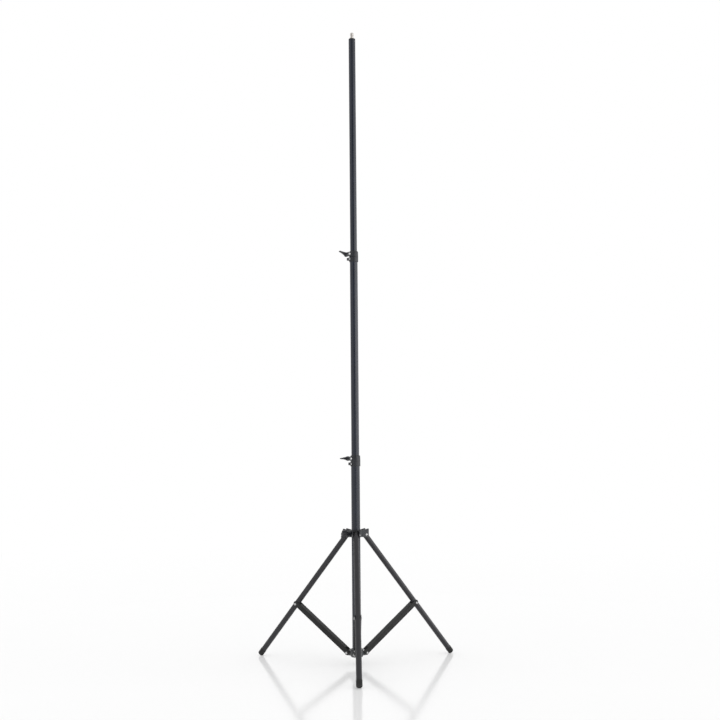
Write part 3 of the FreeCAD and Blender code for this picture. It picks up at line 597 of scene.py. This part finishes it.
def makeCollar(name):
    look = collarLook
    place = upright(bottomOf(f"{name}_collar"), clampBearing)
    easedPiece(f"{name}_collar", place, look["ease"])
    easedPiece(f"{name}_bush", place, look["bushEase"], 2)

    start, shank, tip = look["boltStart"], look["boltRadius"], look["boltTip"]
    boltPlace = place @ Matrix.Translation(Vector((look["boltAt"], 0, look["boltHeight"])) * mm)
    bm = bmesh.new()
    outline = [Vector((0, start)), Vector((shank - tip, start)), Vector((shank, start + tip)),
               Vector((shank, look["earHalf"]))]
    outline += domeOutline(look["boltHead"], look["boltHeadHeight"], look["earHalf"],
                           look["boltRim"], look["headSteps"])
    addTurned(bm, outline, alongY, turns["plain"])
    node = f"{name}_clamp_bolt"
    finishPiece(newObject(pieceName(node), bm, boltPlace), node)

    lug = look["lugHalf"]
    screwSpot = Vector((look["screwAt"], 0, look["screwHeight"])) * mm
    screwPlace = place @ Matrix.Translation(screwSpot)
    bm = bmesh.new()
    addScrew(bm, alongY, look["screwRadius"], -look["screwEnd"], lug, look["screwHead"],
             look["screwHeadHeight"])
    node = f"{name}_fixing_screw"
    screw = newObject(pieceName(node), bm, screwPlace)
    carveCross(screw, lug + look["screwHeadHeight"], alongY, look["cross"], look["crossDeep"])
    finishPiece(screw, node)

    bm = bmesh.new()
    addHexNut(bm, alongY, look["nutAcross"], look["screwRadius"] + look["nutGap"],
              -lug - look["nutThick"], -lug)
    node = f"{name}_fixing_nut"
    finishPiece(newObject(pieceName(node), bm, screwPlace), node, look["nutSharp"])


for collar in ("lower", "upper"):
    makeCollar(collar)
print("collars made")


# clamp levers

leverLook = {"voxel": 0.5, "melt": 7, "lift": {"lower": 0.0, "upper": 20.0},
             "ribsFrom": 15.0, "ribsTo": 34.0, "ribPitch": 2.6, "ribDepth": 0.28}


def makeLever(name):
    look = leverLook
    pivot = Matrix.Translation(joints[f"{name}_lever_turn"]["pos_m"])
    place = (pivot @ Matrix.Rotation(clampBearing, 4, "Z")
             @ Matrix.Rotation(math.radians(-look["lift"][name]), 4, "Y"))

    def ribbed(point, normal):
        # thumb ribs across the handle's upper and lower edges
        if not look["ribsFrom"] < point.x < look["ribsTo"]:
            return point
        along = point.x - look["ribsFrom"]
        wave = 0.5 + 0.5 * math.cos(2 * math.pi * along / look["ribPitch"])
        sink = (1 - wave) * look["ribDepth"] * abs(normal.z)
        return point - Vector((0, 0, math.copysign(sink, normal.z)))

    mouldedPiece(f"{name}_lever", place, look["voxel"], look["melt"], ribbed)


for lever in ("lower", "upper"):
    makeLever(lever)
print("levers made")


# base hub and its lug screws

baseHub = {"ease": 0.8, "screwAt": 26.5, "screwRadius": 2.5, "lugHalf": 10.0, "head": 4.2,
           "headHeight": 2.4, "cross": 4.0, "deep": 1.1}


def makeBaseHub():
    look = baseHub
    easedPiece("base_hub", upright(bottomOf("base_hub")), look["ease"])
    head = domeOutline(look["head"], look["headHeight"], look["lugHalf"])
    outline = [Vector((0, -look["lugHalf"] - look["headHeight"]))]
    outline += [Vector((spot.x, -spot.y)) for spot in reversed(head[:-1])]
    outline += [Vector((look["screwRadius"], -look["lugHalf"])),
                Vector((look["screwRadius"], look["lugHalf"]))]
    outline += head
    screwPlaces = [Matrix.Rotation(bearingOf(centreOf(f"leg_pin_{name}")), 4, "Z")
                   @ Matrix.Translation((look["screwAt"] * mm, 0, 0)) @ alongY
                   for name in legNames]
    bm = bmesh.new()
    for place in screwPlaces:
        addTurned(bm, outline, place, turns["screw"])
    obj = newObject("lugScrews", bm, upright(centreOf("lug_screws").z))
    for place in screwPlaces:
        carveCross(obj, look["lugHalf"] + look["headHeight"], place, look["cross"], look["deep"])
    finishPiece(obj, "lug_screws")


makeBaseHub()
print("base hub made")


# sliding leg hub, its sleeve, rivets and lock knob

legHub = {"ease": 0.7, "bore": 19.3, "sleeve": 21.25, "flange": 24.5, "flangeThick": 2.0,
          "earInner": 12.7, "earOuter": 16.5, "pin": 3.0, "head": 5.2, "headHeight": 2.4,
          "lowEase": 0.4, "seatEase": 0.2, "flangeEase": 0.7, "topEase": 0.5, "rivetRim": 0.4}


def makeLegHub():
    look = legHub
    low, high = bottomOf("hub_sleeve"), topOf("hub_sleeve")
    easedPiece("leg_hub", upright(bottomOf("leg_hub")), look["ease"])

    tall = (high - low) / mm
    seat = tall - look["flangeThick"]
    outline = easedOutline([
        (look["bore"], 0, look["lowEase"]), (look["sleeve"], 0, look["lowEase"]),
        (look["sleeve"], seat, 0), (look["flange"], seat, look["seatEase"]),
        (look["flange"], tall, look["flangeEase"]), (look["bore"], tall, look["topEase"])])
    turnedPiece("hub_sleeve", outline, upright(low), turns["fine"], hollow=True)

    bm = bmesh.new()
    for name in legNames:
        centre = centreOf(f"leg_pin_{name}")
        place = (Matrix.Translation(centre)
                 @ Matrix.Rotation(bearingOf(centre), 4, "Z") @ alongY)
        for side in (place, place @ flip):
            outline = [Vector((0, look["earInner"])), Vector((look["pin"], look["earInner"])),
                       Vector((look["pin"], look["earOuter"]))]
            outline += domeOutline(look["head"], look["headHeight"], look["earOuter"],
                                   look["rivetRim"])
            addTurned(bm, outline, side, turns["screw"])
    finishPiece(newObject("hubRivets", bm), "hub_rivets")


knobLook = {"voxel": 0.55, "melt": 9, "turn": -20.0, "stud": 4.0, "thread": 0.45, "pitch": 1.25,
            "endStep": 1.0, "endPart": 0.7}


def makeKnob():
    look = knobLook
    axis = Vector(joints["knob_turn"]["axis"])
    centre = centreOf("hub_knob_stud")
    low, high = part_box("hub_knob_stud")
    half = (high - low).xy.length / 2  # nearly the stud's half length
    place = (Matrix.Translation((0, 0, centre.z)) @ Matrix.Rotation(bearingOf(axis), 4, "Z")
             @ Matrix.Rotation(math.radians(look["turn"]), 4, "X"))
    mouldedPiece("hub_knob", place, look["voxel"], look["melt"])

    middle = centre.xy.length / mm
    spread = half / mm - look["stud"] * look["endPart"]
    start, end, step = middle - spread, middle + spread, look["endStep"]
    outline = [Vector((0, start)), Vector((look["stud"] - step, start))]
    height = start + step
    while height < end - step:
        outline.append(Vector((look["stud"] - look["thread"], height)))
        outline.append(Vector((look["stud"], height + look["pitch"] / 2)))
        height += look["pitch"]
    outline += [Vector((look["stud"] - step, end)), Vector((0, end))]
    turnedPiece("hub_knob_stud", outline, place @ alongX, turns["small"])


makeLegHub()
makeKnob()
print("leg hub made")


# legs, their plugs, pins and rubber feet

legLook = {"radius": 12.0, "wall": 1.2, "topRoom": 2.0, "plug": 10.75, "plugLow": -14.0,
           "pin": 3.0, "pinEase": 0.4, "foot": 12.9, "footLength": 30.0, "sole": 6.0,
           "footRound": 5.8, "groove": 0.35, "grooveWide": 1.6, "groovesAt": (14.0, 18.0, 22.0),
           "solidRound": 6.0, "tubeEase": 0.3, "plugTip": 1.0, "domeSteps": 16,
           "grooveEase": 0.2, "grooveFloorEase": 0.3, "grooveFloor": 0.4, "rimEase": 0.4}


def makeLeg(name):
    look = legLook
    place = legFrame(name)
    top = centreOf(f"leg_pin_{name}")
    # solidRound is the round of the solid foot, whose lowest point is on the floor
    tilt = math.acos(place.col[2].z)
    foot, solidRound = look["foot"], look["solidRound"]
    drop = ((foot - solidRound) * math.sin(tilt) + solidRound)
    length = (top.z / mm - drop) / math.cos(tilt) + solidRound
    radius, inner = look["radius"], look["radius"] - look["wall"]
    start, room, ease = look["sole"] - length, look["topRoom"], look["tubeEase"]
    outline = easedOutline([(radius, start, ease), (radius, room, ease),
                            (inner, room, ease), (inner, start, ease)])
    turnedPiece(f"leg_tube_{name}", outline, place, turns["leg"], hollow=True)

    plug, plugLow, tip = look["plug"], look["plugLow"], look["plugTip"]
    steps = look["domeSteps"]
    outline = [Vector((0, plugLow)), Vector((plug - tip, plugLow)),
               Vector((plug, plugLow + tip)), Vector((plug, room))]
    for step in range(steps + 1):
        angle = math.pi / 2 * step / steps
        outline.append(Vector((radius * math.cos(angle) if step < steps else 0,
                               room + radius * math.sin(angle))))
    turnedPiece(f"leg_plug_{name}", outline, place, turns["plain"])

    ease = look["pinEase"]
    outline = easedOutline([(0, -radius, 0), (look["pin"], -radius, ease),
                            (look["pin"], radius, ease), (0, radius, 0)])
    turnedPiece(f"leg_pin_{name}", outline, place @ alongY, turns["pin"])

    corners = [(0, 0, 0), (foot, 0, look["footRound"])]
    half, sunk = look["grooveWide"] / 2, foot - look["groove"]
    for at in look["groovesAt"]:
        flat = half * look["grooveFloor"]
        corners += [(foot, at - half, look["grooveEase"]),
                    (sunk, at - flat, look["grooveFloorEase"]),
                    (sunk, at + flat, look["grooveFloorEase"]),
                    (foot, at + half, look["grooveEase"])]
    corners += [(foot, look["footLength"], look["rimEase"]),
                (radius, look["footLength"], look["grooveEase"]),
                (radius, look["sole"], 0), (0, look["sole"], 0)]
    turnedPiece(f"foot_{name}", easedOutline(corners),
                place @ Matrix.Translation((0, 0, -length * mm)), turns["part"])


for leg in legNames:
    makeLeg(leg)
print("legs made")


# braces, with their rivets and washers

braceLook = {"ease": 0.3, "outer": 14.7, "inner": 13.2, "pin": 3.0, "head": 5.2,
             "headHeight": 2.4, "washer": 6.0, "lug": 10.2, "leg": 12.2, "gap": 0.05,
             "washerEase": 0.12, "washerSteps": 2, "rim": 0.4, "headSteps": 8}
# the rolled end of a rivet, as parts of the head's radius and height
rolledEnd = ((0, 0.45), (0.28, 0.5), (0.42, 0.85), (0.55, 1), (0.75, 0.92), (0.93, 0.6),
             (1, 0.2), (1, 0))


def rivetOutline(look):
    # a dome on one end, and an end rolled over a hollow on the other
    seat, head, tall = look["outer"], look["head"], look["headHeight"]
    outline = [Vector((head * wide, -seat - tall * deep)) for wide, deep in rolledEnd]
    outline += [Vector((look["pin"], -seat)), Vector((look["pin"], seat))]
    return outline + domeOutline(head, tall, seat, look["rim"], look["headSteps"])


def makeBrace(name):
    look = braceLook
    place = braceFrame(name)
    knee = Vector(joints[f"leg_{name}_fold"]["pos_m"])
    reach = (knee - place.translation).length
    easedPiece(f"brace_{name}", place, look["ease"], 2)
    ends = {"lower": (0.0, look["lug"]), "upper": (reach, look["leg"])}
    washers = bmesh.new()
    for end, (at, start) in ends.items():
        pivot = Matrix.Translation((0, 0, at)) @ alongY
        turnedPiece(f"brace_{end}_rivet_{name}", rivetOutline(look), place @ pivot,
                    turns["screw"])
        bore, washer, ease = look["pin"] + look["gap"], look["washer"], look["washerEase"]
        outline = easedOutline([(bore, start, ease), (washer, start, ease),
                                (washer, look["inner"], ease), (bore, look["inner"], ease)],
                               look["washerSteps"])
        for side in (pivot, pivot @ flip):
            addTurned(washers, outline, side, turns["small"], hollow=True)
    node = f"brace_washers_{name}"
    finishPiece(newObject(pieceName(node), washers, place), node)


for brace in legNames:
    makeBrace(brace)
print("braces made")


# floor, light and camera, with lengths in metres; the lens and sensor are in millimetres

floorLook = {"half": 60.0, "colour": grey(0.93), "roughness": (0.10, 0.12), "specular": 0.36,
             "glow": 0.20, "fadeFrom": 2.5, "fadeTo": 6.0, "cloudScale": 3.0}


def makeFloor():
    bm = bmesh.new()
    half = floorLook["half"]
    bm.faces.new([bm.verts.new((x, y, 0)) for x, y in
                  ((-half, -half), (half, -half), (half, half), (-half, half))])
    floor = newObject("floor", bm)
    material, tree = newMaterial("paleFloor")
    out = addNode(tree, "ShaderNodeOutputMaterial")
    shader = addNode(tree, "ShaderNodeBsdfPrincipled", {
        "Base Color": floorLook["colour"], "Specular IOR Level": floorLook["specular"],
        "Emission Color": white, "Emission Strength": floorLook["glow"]})
    place = addNode(tree, "ShaderNodeTexCoord").outputs["Object"]
    cloud = addNoise(tree, place, (1, 1, 1), floorLook["cloudScale"])
    gloss = addNode(tree, "ShaderNodeMapRange", {
        "From Min": noiseSpread[0], "From Max": noiseSpread[1],
        "To Min": floorLook["roughness"][0], "To Max": floorLook["roughness"][1]})
    tree.links.new(cloud, gloss.inputs["Value"])
    tree.links.new(gloss.outputs["Result"], shader.inputs["Roughness"])
    # far from the stand the floor turns into the white of the backdrop
    distance = addNode(tree, "ShaderNodeVectorMath", operation="LENGTH")
    tree.links.new(place, distance.inputs[0])
    fade = addNode(tree, "ShaderNodeMapRange", {
        "From Min": floorLook["fadeFrom"], "From Max": floorLook["fadeTo"]})
    tree.links.new(distance.outputs["Value"], fade.inputs["Value"])
    backdrop = addNode(tree, "ShaderNodeEmission", {"Color": white, "Strength": 1.0})
    mix = addNode(tree, "ShaderNodeMixShader")
    tree.links.new(fade.outputs["Result"], mix.inputs["Fac"])
    tree.links.new(shader.outputs["BSDF"], mix.inputs[1])
    tree.links.new(backdrop.outputs["Emission"], mix.inputs[2])
    tree.links.new(mix.outputs["Shader"], out.inputs["Surface"])
    floor.data.materials.append(material)


# brightness by bearing: 0 and 1 are the camera's side, 0.5 is behind the stand
studio = {
    "lower": ((0.0, 0.12), (0.034, 0.12), (0.09, 0.95), (0.25, 0.95), (0.34, 0.80),
              (0.64, 0.80), (0.74, 3.2), (0.86, 3.2), (0.925, 2.6), (0.968, 0.12)),
    "upper": ((0.0, 0.12), (0.034, 0.12), (0.09, 0.85), (0.25, 0.95), (0.34, 0.80),
              (0.64, 0.80), (0.74, 1.4), (0.86, 1.4), (0.925, 1.1), (0.968, 0.12)),
    "upperFrom": 0.12, "upperTo": 0.27,
    "overhead": 0.80, "overheadFrom": 0.32, "overheadTo": 0.60,
}


def addBearingRamp(tree, source, levels, peak):
    ramp = addNode(tree, "ShaderNodeValToRGB")
    stops = ramp.color_ramp.elements
    while len(stops) < len(levels):
        stops.new(0.5)
    for stop, (at, level) in zip(stops, levels):
        stop.position = at
        stop.color = grey(level / peak)
    tree.links.new(source, ramp.inputs["Fac"])
    return ramp.outputs["Color"]


def makeStudioLight():
    world = bpy.data.worlds.new("studio")
    bpy.context.scene.world = world
    world.use_nodes = True
    tree = world.node_tree
    tree.nodes.clear()
    out = addNode(tree, "ShaderNodeOutputWorld")
    place = addNode(tree, "ShaderNodeTexCoord")
    split = addNode(tree, "ShaderNodeSeparateXYZ")
    bearing = addNode(tree, "ShaderNodeMath", operation="ARCTAN2")
    tree.links.new(place.outputs["Generated"], split.inputs["Vector"])
    tree.links.new(split.outputs["X"], bearing.inputs[0])
    tree.links.new(split.outputs["Y"], bearing.inputs[1])
    turn = addNode(tree, "ShaderNodeMapRange", {"From Min": -math.pi, "From Max": math.pi})
    tree.links.new(bearing.outputs["Value"], turn.inputs["Value"])
    peak = max(level for at, level in studio["lower"])
    dome = addBearingRamp(tree, turn.outputs["Result"], studio["lower"], peak)
    upper = addBearingRamp(tree, turn.outputs["Result"], studio["upper"], peak)
    overhead = grey(studio["overhead"] / peak)
    for band, name in ((upper, "upper"), (overhead, "overhead")):
        above = addNode(tree, "ShaderNodeMapRange", {
            "From Min": studio[name + "From"], "From Max": studio[name + "To"]})
        tree.links.new(split.outputs["Z"], above.inputs["Value"])
        dome = addBlend(tree, above.outputs["Result"], dome, band)
    lit = addNode(tree, "ShaderNodeBackground", {"Strength": peak})
    tree.links.new(dome, lit.inputs["Color"])
    backdrop = addNode(tree, "ShaderNodeBackground", {"Color": white, "Strength": 1.0})
    path = addNode(tree, "ShaderNodeLightPath")
    mix = addNode(tree, "ShaderNodeMixShader")
    tree.links.new(path.outputs["Is Camera Ray"], mix.inputs["Fac"])
    tree.links.new(lit.outputs["Background"], mix.inputs[1])
    tree.links.new(backdrop.outputs["Background"], mix.inputs[2])
    tree.links.new(mix.outputs["Shader"], out.inputs["Surface"])
    bpy.context.scene.view_settings.view_transform = "Standard"


view = {"distance": 5.0751, "height": 0.9438, "side": 0.0242, "pitch": 4.24, "roll": 0.487,
        "turn": 1.232, "lens": 57.71, "sensor": 36.0, "farthest": 200.0}


def makeCamera():
    data = bpy.data.cameras.new("camera")
    data.sensor_width = view["sensor"]
    data.lens = view["lens"]
    data.clip_end = view["farthest"]
    camera = bpy.data.objects.new("camera", data)
    bpy.context.scene.collection.objects.link(camera)
    stand = Matrix.Translation((view["side"], -view["distance"], view["height"]))
    aim = Matrix.Rotation(math.radians(90 + view["pitch"]), 4, "X")
    roll = Matrix.Rotation(math.radians(-view["roll"]), 4, "Z")
    turn = Matrix.Rotation(math.radians(-view["turn"]), 4, "Z")
    camera.matrix_world = turn @ stand @ aim @ roll
    bpy.context.scene.camera = camera


makeFloor()
makeStudioLight()
makeCamera()
print("studio ready")
